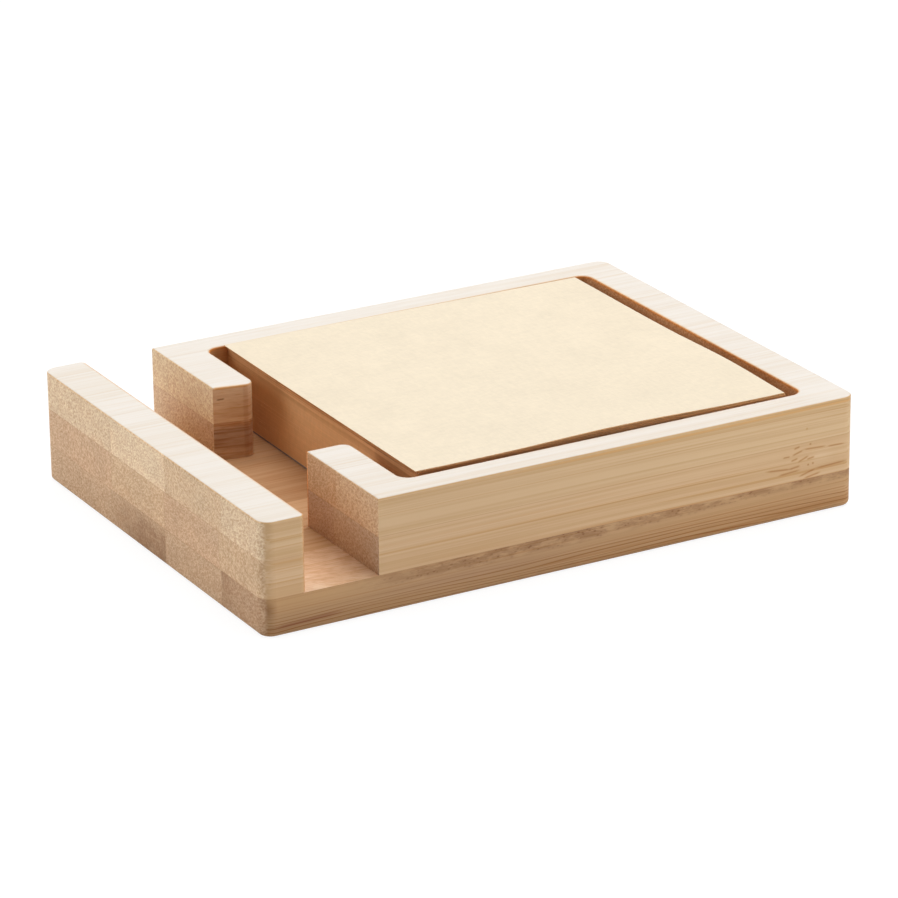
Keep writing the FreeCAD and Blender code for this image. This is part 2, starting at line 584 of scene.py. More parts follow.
    def fibre_share(self) -> Socket:
        """How dark the fibres are, drawn out along Y, from 0 to 1."""
        graph = self.graph
        broad = self.grain((0.20, 0.004, 0.42), 1.0)
        streaks = self.grain((1.40, 0.007, 2.20), 2.0)
        fine = self.grain((3.0, 0.016, 3.6), 2.0, 0.6)
        coarse = graph.product(graph.calc("ADD", broad, streaks), 0.38)
        return graph.ease(graph.calc("ADD", coarse, graph.product(fine, 0.24)), 0.40, 0.60)

    def fibre_lines(self) -> Socket:
        """Thin darker lines along the fibres, from 0 to 1."""
        graph = self.graph
        lines = self.grain((1.5, 0.006, 2.5), 1.0)
        present = self.grain((0.20, 0.012, 0.30), 1.0)
        return graph.product(graph.ease(lines, 0.56, 0.68), graph.ease(present, 0.36, 0.58))

    def bundles(self) -> Socket:
        """The cut fibre bundles of an end face, from 0 between them to 1 in their middle."""
        graph = self.graph
        lean = 40.0 * math.sin(2.1 * self.seed)
        turned = graph.stretch(self.grain_place, turn=(0.0, lean, 0.0))
        winding = graph.near(graph.noise(turned, (0.95, 0.03, 1.60), 1.0), 0.5, 0.10)
        speckle = graph.ease(self.grain((2.7, 0.06, 2.7), 2.0, 0.6), 0.40, 0.60)
        return graph.product(graph.calc("ADD", winding, speckle), 0.50)

    def own(self, colour: Colour) -> Colour:
        """A colour of the ply with the strip's own tone."""
        return tuple(channel * share for channel, share in zip(colour, self.tone.value))

    def grained(self, colour: Colour, contrast: float) -> Socket:
        """A colour with the light and dark of the fibres.

        Args:
            colour: the usual colour.
            contrast: how much of the fibres' light and dark shows.

        Returns:
            The colour on the piece.
        """
        graph = self.graph
        pale = graph.tint(colour, contrast, self.pale_fibre)
        dark = graph.tint(colour, contrast, self.dark_fibre)
        return graph.mix(self.fibre_share(), pale, dark)

    def side_colour(self) -> Socket:
        """The colour of a face along the fibres."""
        lines = self.graph.product(self.fibre_lines(), self.line_share)
        return self.graph.tint(self.grained(self.own(self.ply.side), 1.0), lines,
                               self.fibre_line)

    def end_colour(self) -> Socket:
        """The colour of a face across the fibres."""
        graph = self.graph
        cloud = graph.waver(self.grain((0.11, 0.01, 0.20)), 0.25)
        # Only the front end faces take the painted light or shade of the strip's block.
        front = graph.ease(self.y, 0.0, SLOT_BACK_Y + 4.0)
        ground = graph.tints(self.own(self.ply.end), (1.0, cloud), (front, self.end_light_and_shade))
        pale = graph.tint(ground, 1.0, self.pale_bundle)
        dark = graph.tint(ground, 1.0, self.dark_bundle)
        return graph.mix(self.bundles(), dark, pale)

    def top_colour(self) -> Socket:
        """The colour of an upward face, with less contrast than a side; the top ply's is paler
        as well, a painted sheen.
        """
        graph = self.graph
        contrast = self.ply.top_contrast
        dashes = graph.ease(self.grain((1.9, 0.10, 2.2)), 0.52, 0.68)
        lines = graph.calc("ADD", graph.product(self.fibre_lines(), self.line_share),
                           graph.product(dashes, 0.5))
        share = graph.calc("MULTIPLY", lines, contrast, clamp=True)
        return graph.tint(self.grained(self.ply.top, contrast), share, self.fibre_line)

    def marks(self, colour: Socket) -> Socket:
        """Add what marks a side face of this strip alone. The plain strip has no marks."""
        return colour

    def build(self) -> Material:
        """Make the strip's material.

        Returns:
            The material.
        """
        graph = self.graph
        end, top, under = self.face_shares()
        plain = self.side_colour()
        side = graph.mix(under, self.marks(plain), plain)
        colour = graph.mix(end, side, self.end_colour())
        # Painted shade on the walls inside the pocket, and a painted highlight along their upper
        # edge.
        pocket_shade_share = self.pocket_share()
        pocket_highlight_share = graph.product(pocket_shade_share, graph.ease(self.z, TOP_Z - 1.3, TOP_Z - 0.2))
        colour = graph.tints(colour, (pocket_shade_share, self.pocket_shade), (pocket_highlight_share, self.lit_edge))
        colour = graph.mix(top, colour, self.top_colour())
        seams = graph.product(self.seam_share(), self.seam_strength)
        # A painted yellowish line for the light and shade on the rounded top edges, and painted
        # shade on the milled edges of the lip, the notch and the pocket.
        rims = graph.product(self.rim_share(), self.rim_strength)
        colour = graph.tints(colour, (seams, self.glue_line), (rims, self.rim_light_line),
                             (self.lip_edge_share(), self.lip_edge_shade),
                             (self.milled_edge_share(), self.milled_edge_shade))
        fine = self.grain((2.4, 0.08, 2.4), 3.0, 0.6)
        roughness = graph.ease(fine, 0.2, 0.8, self.smoothest, self.roughest)
        return graph.finish(colour, roughness, fine, self.relief, self.specular)


@dataclass
class StainedStrip(Bamboo):
    """The base ply's middle strip, which is darker, most of all low down and to the right."""

    stain: Colour = (0.66, 0.58, 0.52)
    floor_share: float = 0.35

    def end_colour(self) -> Socket:
        """The colour of its ends, with the stain."""
        graph = self.graph
        uneven = graph.noise(self.place, (0.22, 0.1, 0.35), shift=(2.0, 0.0, 6.0))
        share = graph.product(graph.ease(self.x, -17.5, -3.0, 0.15, 1.0),
                              graph.ease(self.z, 7.3, 4.0, 0.40, 1.0),
                              graph.ease(uneven, 0.25, 0.6, 0.6, 1.0))
        return graph.tint(super().end_colour(), share, self.stain)

    def top_colour(self) -> Socket:
        """The colour of the floor that it makes, a little darker too."""
        return self.graph.tint(super().top_colour(), self.floor_share, self.stain)


@dataclass
class SmudgedStrip(Bamboo):
    """The base ply's right strip, whose outer side has grey smudges, close orange lines and
    painted light and shade, and whose slot floor has painted light.
    """

    smudge: Colour = (0.72, 0.64, 0.58)
    haze: Colour = (0.92, 0.90, 0.94)
    # Painted light towards the back, painted shade towards the front and painted light under the
    # lip, on the outer side.
    painted_warm_light_back: Colour = (1.13, 1.14, 1.11)
    painted_shade_front: Colour = (0.86, 0.83, 0.78)
    painted_light_under_lip: Colour = (1.15, 1.14, 1.08)
    dark_streak: Stroke = Stroke((-52.0, 1.9), 15.0, 2.0, 0.7)
    streak: Colour = (0.74, 0.58, 0.56)
    spot: Colour = (0.72, 0.62, 0.58)
    stain: Colour = (0.60, 0.50, 0.42)
    close_line: Colour = (0.70, 0.50, 0.30)
    # Painted light on the slot floor, most at its open outer end; the floor is also paler by the
    # lip.
    slot_floor_light: Colour = (1.22, 1.38, 1.72)
    slot_floor_by_lip: Colour = (1.06, 1.14, 1.24)
    slot_end_light: Colour = (1.06, 1.10, 1.12)
    scratch: Colour = (0.88, 0.79, 0.70)
    scratch_turn: float = 24.0

    def end_colour(self) -> Socket:
        """The colour of its ends, darker along the left edge."""
        graph = self.graph
        share = graph.product(graph.ease(self.x, 28.0, 36.0, 0.30, 0.0),
                              graph.ease(self.z, 2.0, 6.0, 0.3, 1.0))
        return graph.tint(super().end_colour(), share, self.stain)

    def top_colour(self) -> Socket:
        """The colour of the floor that it makes: in the slot paler all over and at the open
        outer end, which is painted light, paler by the lip, and finely scratched.
        """
        graph = self.graph
        by_lip = graph.ease(self.y, SLOT_FRONT_Y + 6.0, SLOT_FRONT_Y + 2.0)
        edge = graph.ease(self.x, OUTER_X - 2.4, OUTER_X - 0.6)
        across = graph.stretch(self.place, turn=(0.0, 0.0, self.scratch_turn))
        scratches = graph.ease(graph.noise(across, (0.9, 0.3, 1.0), 4.0, 0.7), 0.42, 0.66)
        return graph.tints(super().top_colour(), (1.0, self.slot_floor_light),
                           (by_lip, self.slot_floor_by_lip), (edge, self.slot_end_light),
                           (scratches, self.scratch))

    def paint_light_by_place(self, colour: Socket) -> Socket:
        """Paint light and shade on the side: warmer and lighter at the back, darker at the
        front, and paler under the lip.
        """
        graph = self.graph
        under_lip = graph.product(graph.ease(self.y, -34.0, -50.0),
                                  graph.ease(self.z, 2.6, 6.4))
        return graph.tints(colour, (graph.ease(self.y, -12.0, 40.0), self.painted_warm_light_back),
                           (graph.ease(self.y, -28.0, -56.0), self.painted_shade_front),
                           (under_lip, self.painted_light_under_lip))

    def lines_low_down(self) -> Socket:
        """Close level lines near the side's lower edge, from 0 to 1."""
        graph = self.graph
        level = graph.noise(self.place, (0.1, 0.03, 0.4), 1.0, shift=(4.0, 2.0, 0.0))
        phase = graph.calc("FRACT", graph.calc("ADD", graph.product(self.z, 1.7),
                                               graph.product(level, 3.0)))
        return graph.product(graph.near(phase, 0.5, 0.20), graph.ease(self.z, 4.6, 2.6))

    def smudges(self) -> Socket:
        """The blots in a band under the glue line, from 0 to 1."""
        graph = self.graph
        blots = graph.noise(self.place, (0.5, 0.16, 0.8), 4.0, 0.7)
        below_band = graph.calc("SUBTRACT", self.z, graph.ease(self.y, -5.0, 45.0))
        return graph.product(graph.ease(below_band, 4.2, 5.8),
                             graph.ease(self.y, -46.0, -26.0),
                             graph.ease(blots, 0.36, 0.58))

    def marks(self, colour: Socket) -> Socket:
        """Add the painted light and shade, the smudges under the glue line, the close lines
        lower down, and a stain.
        """
        graph = self.graph
        smudges = self.smudges()
        haze = graph.product(graph.near(self.z, 3.6, 1.9), graph.near(self.y, -20.0, 28.0))
        grains = graph.cells(self.place, (0.9, 1.0, 1.6))
        spots = graph.product(smudges, graph.ease(grains, 0.38, 0.16))
        patch = graph.product(graph.near(self.y, -59.8, 2.6), graph.near(self.z, 5.2, 2.6))
        return graph.tints(self.paint_light_by_place(colour),
                           (self.lines_low_down(), self.close_line),
                           (smudges, self.smudge), (haze, self.haze), (spots, self.spot),
                           (self.dark_streak.share(graph, self.place), self.streak),
                           (patch, self.stain))


@dataclass
class KnuckleStrip(Bamboo):
    """The middle ply's right strip, with part of a knuckle of the cane near the tray's back."""

    stroke: Colour = (0.76, 0.56, 0.38)
    # Painted light: the side is paler towards the back.
    painted_light_back: Colour = (1.07, 1.08, 1.07)
    pale_patch: Colour = (1.05, 1.09, 1.16)
    strokes: tuple[Stroke, ...] = (
        Stroke((47.8, 12.5), 2.6, 16.0), Stroke((51.4, 12.8), 5.4, -3.0),
        Stroke((56.0, 12.5), 4.0, -2.0, 0.24), Stroke((47.6, 13.5), 1.4, 12.0),
        Stroke((47.1, 11.3), 1.6, 12.0), Stroke((49.0, 11.1), 2.6, 20.0),
        Stroke((50.6, 11.0), 1.8, 8.0), Stroke((45.4, 12.1), 1.6, 0.0, 0.24),
        Stroke((43.8, 9.9), 6.0, -5.0), Stroke((47.2, 9.8), 2.4, 6.0),
        Stroke((46.0, 9.0), 5.0, 3.0), Stroke((49.9, 8.3), 3.8, 14.0),
        Stroke((55.0, 8.9), 7.5, 2.0), Stroke((51.0, 7.6), 3.8, 8.0),
    )
    spots: tuple[Stroke, ...] = (
        Stroke((50.5, 13.7), 0.5, 0.0), Stroke((50.1, 9.8), 0.5, 0.0),
        Stroke((51.1, 9.9), 0.5, 0.0),
    )

    def marks(self, colour: Socket) -> Socket:
        """Add the knuckle's strokes and spots, the paler patch beside it, and the painted light
        towards the back.
        """
        graph = self.graph
        patch = graph.product(graph.near(self.y, 52.6, 3.6), graph.near(self.z, 10.9, 2.2))
        marks = [(mark.share(graph, self.place), self.stroke)
                 for mark in self.strokes + self.spots]
        return graph.tints(colour, (graph.ease(self.y, -30.0, 50.0), self.painted_light_back),
                           (patch, self.pale_patch), *marks)


@dataclass
class EdgeLineStrip(Bamboo):
    """The top ply's right strip, with a painted yellow-brown line along the outer side just
    under its rounded top edge, for the light and shade on the rounding.
    """

    # A painted line for the light and shade on the rounded top edge.
    painted_edge_line: Colour = (1.0, 0.86, 0.62)
    ochre_z: float = 20.55
    ochre_reach: float = 0.42
    # Painted light: the side is paler towards the back.
    painted_light_back: Colour = (1.08, 1.10, 1.10)
    spot: Stroke = Stroke((49.7, 16.8), 0.5, 0.0)

    def marks(self, colour: Socket) -> Socket:
        """Add the painted edge line, the painted light towards the back, and a spot."""
        graph = self.graph
        line = graph.product(graph.near(self.z, self.ochre_z, self.ochre_reach),
                             graph.ease(self.y, -24.0, 8.0))
        return graph.tints(colour, (graph.ease(self.y, -30.0, 50.0), self.painted_light_back),
                           (line, self.painted_edge_line),
                           (self.spot.share(graph, self.place), self.fibre_line))


@dataclass
class NotchStrip(Bamboo):
    """A strip that the finger notch cuts, whose cut side has dark layers, a short crack, painted
    shade low down and painted light higher up, and whose end has a painted highlight line at the
    notch's right corner.
    """

    layer: Colour = (0.78, 0.65, 0.53)
    # Painted shade on the cut side low down and painted light higher up; a painted highlight on
    # the notch's right corner.
    low: Colour = (0.74, 0.75, 0.87)
    low_end: Colour = (0.80, 0.73, 0.72)
    high: Colour = (1.14, 1.16, 1.28)
    corner_highlight: Colour = (1.36, 1.00, 0.70)
    crack: Stroke = Stroke((-36.5, 18.9), 1.6, 4.0, 0.26)
    crack_colour: Colour = (0.45, 0.32, 0.24)

    def layers(self) -> Socket:
        """The dark level layers, strongest about the middle of the middle ply, from 0 to 1."""
        graph = self.graph
        thin = graph.noise(self.place, (0.1, 0.06, 1.7), shift=(0.0, 0.0, 2.3))
        from_middle = graph.calc("ABSOLUTE", graph.calc("SUBTRACT", self.z, 11.5))
        return graph.product(graph.ease(thin, 0.48, 0.60),
                             graph.ease(from_middle, 1.5, 5.0, 1.0, 0.25))

    def marks(self, colour: Socket) -> Socket:
        """Add the layers, the painted shade low down, the painted light higher up, and the
        crack.
        """
        graph = self.graph
        low_shade_share = graph.product(graph.ease(self.z, 14.4, 12.4),
                                  graph.ease(self.z, 7.6, 10.5, 0.35, 1.0))
        return graph.tints(colour, (self.layers(), self.layer), (low_shade_share, self.low),
                           (graph.ease(self.z, 12.5, 15.0), self.high),
                           (self.crack.share(graph, self.place), self.crack_colour))

    def end_colour(self) -> Socket:
        """The colour of its end, darker low down beside the notch, with a painted highlight line
        at the notch's right corner.
        """
        graph = self.graph
        share = graph.product(graph.near(self.x, NOTCH_LEFT_X, 14.0),
                              graph.ease(self.z, 14.3, 14.0))
        corner = graph.near(self.x, NOTCH_RIGHT_X, 0.55)
        return graph.tints(super().end_colour(), (share, self.low_end),
                           (corner, self.corner_highlight))


@dataclass(frozen=True)
class PaperFinish:
    """The kraft paper of the pad: its cream faces and the brown cut edges of its sheets.

    Attributes:
        name: the material's name.
        face: the colour of a sheet's face.
        edge: the colour of the cut edges.
        gap_shade: the painted shade that tints the gaps between the uppermost sheets' edges.
        gaps_from, gaps_to: the heights at which those gaps begin to show and show most.
        line_contrast: how much the sheets' edges differ.
        lines_per_mm: how close their lines are.
        specular, roughness: how strong its sheen is, and how rough it is.
        relief: how deep its fibres lie, in metres.
    """

    name: str
    face: Colour = (0.865, 0.755, 0.585)
    edge: Colour = (0.75, 0.43, 0.203)
    gap_shade: Colour = (0.74, 0.66, 0.58)
    gaps_from: float = 17.4
    gaps_to: float = 20.4
    line_contrast: float = 0.26
    lines_per_mm: float = 7.0
    specular: float = 0.2
    roughness: float = 0.75
    relief: float = 0.02 * MM

    def build(self) -> Material:
        """Make the paper's material.

        Returns:
            The material.
        """
        graph = Graph(self.name)
        place = graph.place()
        _, _, z = graph.split(place)
        _, _, up = graph.facing()
        along = graph.noise(place, (0.5, 1.7, 0.9), 4.0, 0.7)
        across = graph.noise(place, (1.7, 0.5, 0.9), 4.0, 0.7)
        fibres = graph.product(graph.calc("ADD", along, across), 0.5)
        clouds = graph.noise(place, (0.10, 0.10, 0.10))
        tone = graph.product(graph.waver(fibres, 0.32), graph.waver(clouds, 0.10))
        face = graph.tint(self.face, 1.0, tone)
        sheets = graph.noise(place, (0.05, 0.05, self.lines_per_mm), 2.0, 0.6)
        nap = graph.noise(place, (1.1, 1.1, 0.5), 3.0, 0.6)
        lines = graph.product(graph.waver(sheets, self.line_contrast), graph.waver(nap, 0.22))
        edge = graph.tint(self.edge, 1.0, lines)
        # Painted shade in the gaps between the uppermost sheets' edges, in level bands.
        bands = graph.noise(place, (0.02, 0.02, 2.8), 1.0)
        gap_shade_share = graph.product(graph.ease(bands, 0.46, 0.58),
                              graph.ease(z, self.gaps_from, self.gaps_to, 0.0, 0.9))
        edge = graph.tint(edge, gap_shade_share, self.gap_shade)
        is_face = graph.ease(graph.calc("ABSOLUTE", up), 0.5, 0.8)
        colour = graph.mix(is_face, edge, face)
        return graph.finish(colour, self.roughness, fibres, self.relief, self.specular)


@dataclass(frozen=True)
class BackingFinish:
    """The dark paper under the pad."""

    name: str = "backing_paper"
    colour: Colour = (0.28, 0.25, 0.24)
    roughness: float = 0.8
    relief: float = 0.02 * MM

    def build(self) -> Material:
        """Make the backing's material.

        Returns:
            The material.
        """
        graph = Graph(self.name)
        fibres = graph.noise(graph.place(), (1.2, 1.2, 1.2), 3.0, 0.6)
        colour = graph.tint(self.colour, 1.0, graph.waver(fibres, 0.4))
        return graph.finish(colour, self.roughness, fibres, self.relief)


@dataclass(frozen=True)
class Plies:
    """The tones of the holder's strips, ply by ply, from the left side to the right, and the
    painted light and shade on the front ends of the tray's blocks.
    """

    base: tuple[Tone, ...] = (Tone.LIGHT, Tone.LIGHT, Tone.LIGHT, Tone.LIGHT, Tone.BROWN)
    middle: tuple[Tone, ...] = (Tone.ROSY, Tone.ROSY, Tone.LIGHT, Tone.ROSY, Tone.LIGHT)
    top: tuple[Tone, ...] = (Tone.LIGHT, Tone.LIGHT, Tone.PALE, Tone.TAN, Tone.LIGHT)
    # Painted shade on the front ends of the tray's right block and painted light on those of its
    # left block, in the middle ply and in the top ply.
    right_block_end_shade: Colour = (0.82, 0.84, 0.95)
    right_block_upper_end_shade: Colour = (0.91, 0.86, 0.83)
    left_block_end_light: Colour = (1.15, 1.28, 1.35)
    left_block_upper_end_light: Colour = (1.06, 1.11, 1.09)

    def finish(self, node: str, seed: int) -> Bamboo:
        """The finish of one of the holder's CAD nodes.

        Args:
            node: the node's name.
            seed: the number that moves its grain.

        Returns:
            Its finish.
        """
        words = node.split("_")
        number = int(words[words.index("strip") + 1]) - 1
        if "base" in words:
            kind = {2: StainedStrip, 4: SmudgedStrip}.get(number, Bamboo)
            return kind(node, BASE_PLY, self.base[number], seed)
        in_tray = words[0] == "tray"
        kind = Bamboo
        if in_tray and number == 4:
            kind = KnuckleStrip if "middle" in words else EdgeLineStrip
        elif in_tray and words[-1] == "front":
            kind = NotchStrip
        # The tray's front ends take painted light on the left block and painted shade on the
        # right one.
        stain = NO_PAINTED_LIGHT
        if "middle" in words:
            if in_tray:
                stain = self.left_block_end_light if number < 2 else self.right_block_end_shade
            return kind(node, MIDDLE_PLY, self.middle[number], seed, stain)
        if in_tray and number != 2:
            stain = self.left_block_upper_end_light if number < 2 else self.right_block_upper_end_shade
        return kind(node, TOP_PLY, self.top[number], seed, stain)

    def build(self) -> None:
        """Give each bamboo node its finish."""
        names = sorted(name for name in frame["nodes"] if "_strip_" in name)
        for order, name in enumerate(names):
            words = name.split("_")
            number = int(words[words.index("strip") + 1])
            material = self.finish(name, 7 * number + 3 * len(words[0]) + order).build()
            node = bpy.data.objects[name]
            node.data.materials.clear()
            node.data.materials.append(material)
            LOG.info("%s is finished as %s", name, material.name)


@dataclass(frozen=True)
class SheetShape:
    """How the top sheet lies: nearly level at its left edge, and bulged up at its right one.

    A ripple crosses it, and its back edge has an arch. Heights are in millimetres, at the front
    where nothing else is said. Places and reaches are shares of the sheet's side, and the
    ripple's turns are in radians for the whole way back and right.
    """

    left: float = 21.50
    left_rise: float = 0.10
    right: float = 21.78
    right_rise: float = 0.12
    bulge: float = 0.50
    bulge_at: float = 0.55
    bulge_reach: float = 0.25
    ripple: float = 0.05
    ripple_back: float = 9.0
    ripple_right: float = 3.0
    arch: float = 0.55
    arch_at: float = 0.75
    arch_reach: float = 0.20
    ceiling: float = 22.38

    def height(self, right: float, back: float) -> float:
        """The height of the sheet's upper face.

        Args:
            right: the share of the way from its left edge to its right one.
            back: the share of the way from its front edge to its back one.

        Returns:
            The height, in metres.
        """
        left_edge = self.left + self.left_rise * back
        right_edge = self.right + self.right_rise * back
        bulge = self.bulge * math.exp(-((back - self.bulge_at) / self.bulge_reach) ** 2)
        turn = self.ripple_back * back + self.ripple_right * right
        ripple = self.ripple * math.sin(turn) * right
        arch = self.arch * math.exp(-((right - self.arch_at) / self.arch_reach) ** 2) * back ** 4
        rise = right_edge - left_edge + bulge + ripple
        return min(left_edge + rise * right ** 2 + arch, self.ceiling) * MM


@dataclass
class MemoPad:
    """The pad of kraft sheets: a backing, a glued stack, a loose bundle and the top sheet.

    Attributes:
        side: the sheets' side.
        centre: the middle of the pad in plan.
        turn: how far it is turned in its pocket, clockwise from above, in degrees.
        backing: the heights of the backing's lower and upper face.
        corner: how much of the backing's corners is cut round.
        stack_top: where the glued stack ends and the loose sheets begin.
        layer: the height of a group of sheets that lie in line in the stack.
        layer_jitter: how far such a group lies out of line at most.
        step_share: the part of its height in which it gets there.
        loose_sheets: how many loose sheets there are.
        loose_aside, loose_forward: how far they lie to a side and to the front at most.
        fan: how much further each is turned than the one below, in degrees.
        top_gap: the free space between them and the top sheet.
        top_shift: how far the top sheet lies from the pad's middle in plan.
        top_turn: how much further than the pad it is turned, in degrees.
        top_overhang: how much longer than the others it is.
        sheet_thickness: the thickness of the curved sheets.
        grid: how many parts their sides are divided into.
        shape: how the top sheet lies, which the loose sheets follow.
        dice: the random numbers that put the sheets out of line.
        paper, shaded_kraft, top_paper_edge_light, dark: the finishes, which build makes.
    """

    side: float = 75.0 * MM
    centre: tuple[float, float] = (0.0, 11.9 * MM)
    turn: float = 0.61
    backing: tuple[float, float] = (7.2 * MM, 7.5 * MM)
    corner: float = 0.3 * MM
    stack_top: float = 20.4 * MM
    layer: float = 0.2 * MM
    layer_jitter: float = 0.008 * MM
    step_share: float = 0.1
    loose_sheets: int = 7
    loose_aside: float = 0.04 * MM
    loose_forward: float = 0.12 * MM
    fan: float = 0.02
    top_gap: float = 0.03 * MM
    top_shift: tuple[float, float] = (0.12 * MM, -0.3 * MM)
    top_turn: float = 0.05
    top_overhang: float = 0.5 * MM
    sheet_thickness: float = 0.13 * MM
    grid: int = 40
    shape: SheetShape = SheetShape()
    dice: random.Random = field(default_factory=lambda: random.Random(5))
    paper: Material = field(init=False)
    shaded_kraft: Material = field(init=False)
    top_paper_edge_light: Material = field(init=False)
    dark: Material = field(init=False)

    def square(self, mesh: BMesh, z: float, parts: int) -> Points:
        """Start a level sheet about (0, 0), still square to the frame.

        Args:
            mesh: the bmesh that gets it.
            z: its height.
            parts: how many parts its side is divided into.

        Returns:
            Its points.
        """
        made = bmesh.ops.create_grid(mesh, x_segments=parts, y_segments=parts,
                                     size=self.side / 2)["verts"]
        bmesh.ops.translate(mesh, verts=made, vec=(0.0, 0.0, z))
        return made

    def lift(self, mesh: BMesh, faces: Faces, step: Triple,
             is_open: bool = False) -> Faces:
        """Extrude faces by a step.

        Args:
            mesh: the bmesh that they are in.
            faces: the faces.
            step: how far they go.
            is_open: whether they are an open sheet, which then stays as the other side.

        Returns:
            The faces in their new place.
        """
        made = bmesh.ops.extrude_face_region(mesh, geom=faces)["geom"]
        moved = [part for part in made if isinstance(part, bmesh.types.BMVert)]
        bmesh.ops.translate(mesh, verts=moved, vec=step)
        if not is_open:
            bmesh.ops.delete(mesh, geom=faces, context="FACES_ONLY")
        return [part for part in made if isinstance(part, bmesh.types.BMFace)]

    def lay(self, mesh: BMesh, points: Points,
            shift: tuple[float, float] = (0.0, 0.0), more_turn: float = 0.0) -> None:
        """Turn and move points from about (0, 0) to where the pad lies in the pocket.

        Args:
            mesh: the bmesh that they are in.
            points: the points.
            shift: how far they are moved from the pad's middle in plan.
            more_turn: how much further than the pad they are turned, in degrees.
        """
        clockwise = Matrix.Rotation(-math.radians(self.turn + more_turn), 3, "Z")
        bmesh.ops.rotate(mesh, verts=points, cent=(0.0, 0.0, 0.0), matrix=clockwise)
        place = (self.centre[0] + shift[0], self.centre[1] + shift[1], 0.0)
        bmesh.ops.translate(mesh, verts=points, vec=place)

    def keep(self, mesh: BMesh, name: str, materials: list[Material],
             body: Body, node: str) -> None:
        """Turn a finished bmesh into a piece of the scene.

        Args:
            mesh: the piece's mesh.
            name: its name.
            materials: its finishes, in the order that its faces count them.
            body: the body that it rides on.
            node: the CAD node that it stands for.
        """
        bmesh.ops.recalc_face_normals(mesh, faces=mesh.faces)
        data = bpy.data.meshes.new(name)
        mesh.to_mesh(data)
        mesh.free()
        for material in materials:
            data.materials.append(material)
        piece = bpy.data.objects.new(name, data)
        bpy.context.scene.collection.objects.link(piece)
        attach(piece, body.value)
        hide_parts(node)
        LOG.info("%s has %d faces", name, len(data.polygons))

    def build_backing(self) -> None:
        """The thin dark sheet at the pad's bottom."""
        mesh = bmesh.new()
        low, high = self.backing
        self.square(mesh, low, 1)
        self.lift(mesh, list(mesh.faces), (0.0, 0.0, high - low), is_open=True)
        upright = [edge for edge in mesh.edges
                   if abs(edge.verts[0].co.z - edge.verts[1].co.z) > (high - low) / 2]
        bmesh.ops.bevel(mesh, geom=upright, offset=self.corner, offset_type="OFFSET",
                        segments=3, profile=0.5, affect="EDGES", material=-1)
        self.lay(mesh, list(mesh.verts))
        self.keep(mesh, "pad_backing", [self.dark], Body.MEMO_PAD,
                  "pad_backing_sheet")

    def build_stack(self) -> None:
        """The glued stack, its sheets a little in and out of line."""
        mesh = bmesh.new()
        low = self.backing[1]
        count = round((self.stack_top - low) / self.layer)
        height = (self.stack_top - low) / count
        step = self.step_share * height
        straight = (1.0 - self.step_share) * height
        self.square(mesh, low, 1)
        upper = self.lift(mesh, list(mesh.faces), (0.0, 0.0, step), is_open=True)
        place = Vector((0.0, 0.0))
        for _ in range(count - 1):
            upper = self.lift(mesh, upper, (0.0, 0.0, straight))
            next_place = Vector((self.dice.uniform(-self.layer_jitter, self.layer_jitter),
                                 self.dice.uniform(-self.layer_jitter, self.layer_jitter)))
            upper = self.lift(mesh, upper, (*(next_place - place), step))
            place = next_place
        self.lift(mesh, upper, (0.0, 0.0, straight))
        self.lay(mesh, list(mesh.verts))
        self.keep(mesh, "pad_stack", [self.paper], Body.MEMO_PAD,
                  "pad_sheet_stack")

    def add_sheet(self, mesh: BMesh, upper: Callable[[float, float], float],
                  shift: tuple[float, float], more_turn: float, finish: int = 0,
                  overhang: float = 0.0) -> None:
        """Add one curved sheet, as a closed thin solid.

        Args:
            mesh: the bmesh that gets it.
            upper: gives the height of its upper face at shares of the way right and back.
            shift: how far it is moved in plan.
            more_turn: how much further it is turned than the stack, in degrees.
            finish: which of the piece's finishes it gets.
            overhang: how much longer than the others it is, all of it at its front edge.
        """
        earlier_faces = len(mesh.faces)
        earlier_points = len(mesh.verts)
        for point in self.square(mesh, 0.0, self.grid):
            back = point.co.y / self.side + 0.5
            point.co.z = upper(point.co.x / self.side + 0.5, back)
            point.co.y -= overhang * (1.0 - back)
        mesh.faces.ensure_lookup_table()
        sheet = mesh.faces[earlier_faces:]
        self.lift(mesh, sheet, (0.0, 0.0, -self.sheet_thickness), is_open=True)
        mesh.faces.ensure_lookup_table()
        mesh.verts.ensure_lookup_table()
        for face in mesh.faces[earlier_faces:]:
            face.material_index = finish
        self.lay(mesh, mesh.verts[earlier_points:], shift, more_turn)

    def build_loose(self) -> None:
        """The bundle of loose sheets, fanned out under the top sheet."""
        mesh = bmesh.new()
        for number in range(1, self.loose_sheets + 1):
            share = number / self.loose_sheets

            def upper(right: float, back: float, share: float = share) -> float:
                """The height of this sheet's upper face."""
                ceiling = self.shape.height(right, back) - self.sheet_thickness - self.top_gap
                return self.stack_top + (ceiling - self.stack_top) * share

            shift = (self.dice.uniform(-self.loose_aside, self.loose_aside),
                     self.dice.uniform(-self.loose_forward, 0.0))
            is_last = number == self.loose_sheets
            # Every loose sheet but the uppermost takes the shaded copy of the paper: painted
            # shade.
            self.add_sheet(mesh, upper, shift, self.fan * number, 0 if is_last else 1)
        self.keep(mesh, "pad_loose_sheets", [self.paper, self.shaded_kraft], Body.MEMO_PAD,
                  "pad_upper_sheets")

    def build_top_sheet(self) -> None:
        """The top sheet, which bulges up along its right edge."""
        mesh = bmesh.new()
        self.add_sheet(mesh, self.shape.height, self.top_shift, self.top_turn,
                       overhang=self.top_overhang)
        self.keep(mesh, "pad_front_sheet", [self.top_paper_edge_light], Body.TOP_SHEET,
                  "pad_top_sheet")

    def build(self) -> None:
        """Make every piece of the pad."""
        self.paper = PaperFinish("kraft_paper").build()
